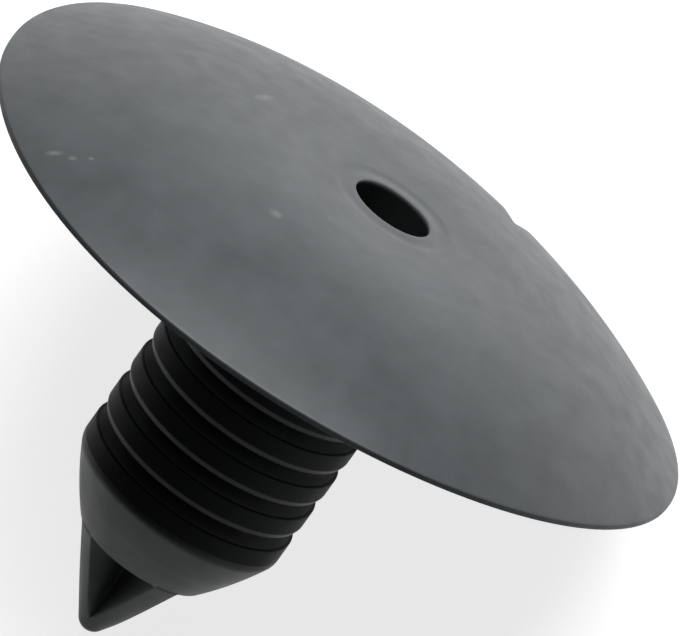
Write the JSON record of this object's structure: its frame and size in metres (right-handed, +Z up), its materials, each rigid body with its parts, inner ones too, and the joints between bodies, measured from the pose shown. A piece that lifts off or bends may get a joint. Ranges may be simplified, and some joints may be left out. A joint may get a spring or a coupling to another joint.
{
  "type": "fir tree clip",
  "caption": "Push-in plastic panel clip with a wide thin domed head, a shank with a stack of flexible disc fins and a cross-shaped point; presses into a drilled hole to hold trim.",
  "frame": {"origin": "on the floor, under the middle of the laid part's length and width", "axes": "+Z up; the part lies on its head's rim and the end of its point, its axis is in the XZ plane and dips towards -X; +Y runs along the head's diameter that is parallel to the floor"},
  "size_m": [0.0234, 0.03, 0.023],
  "materials": {
    "black_nylon": "black moulded nylon, satin, finely mottled on the head with small pale scuffs"
  },
  "bodies": {
    "root": {"fir_tree_clip": "black_nylon"}
  },
  "joints": []
}
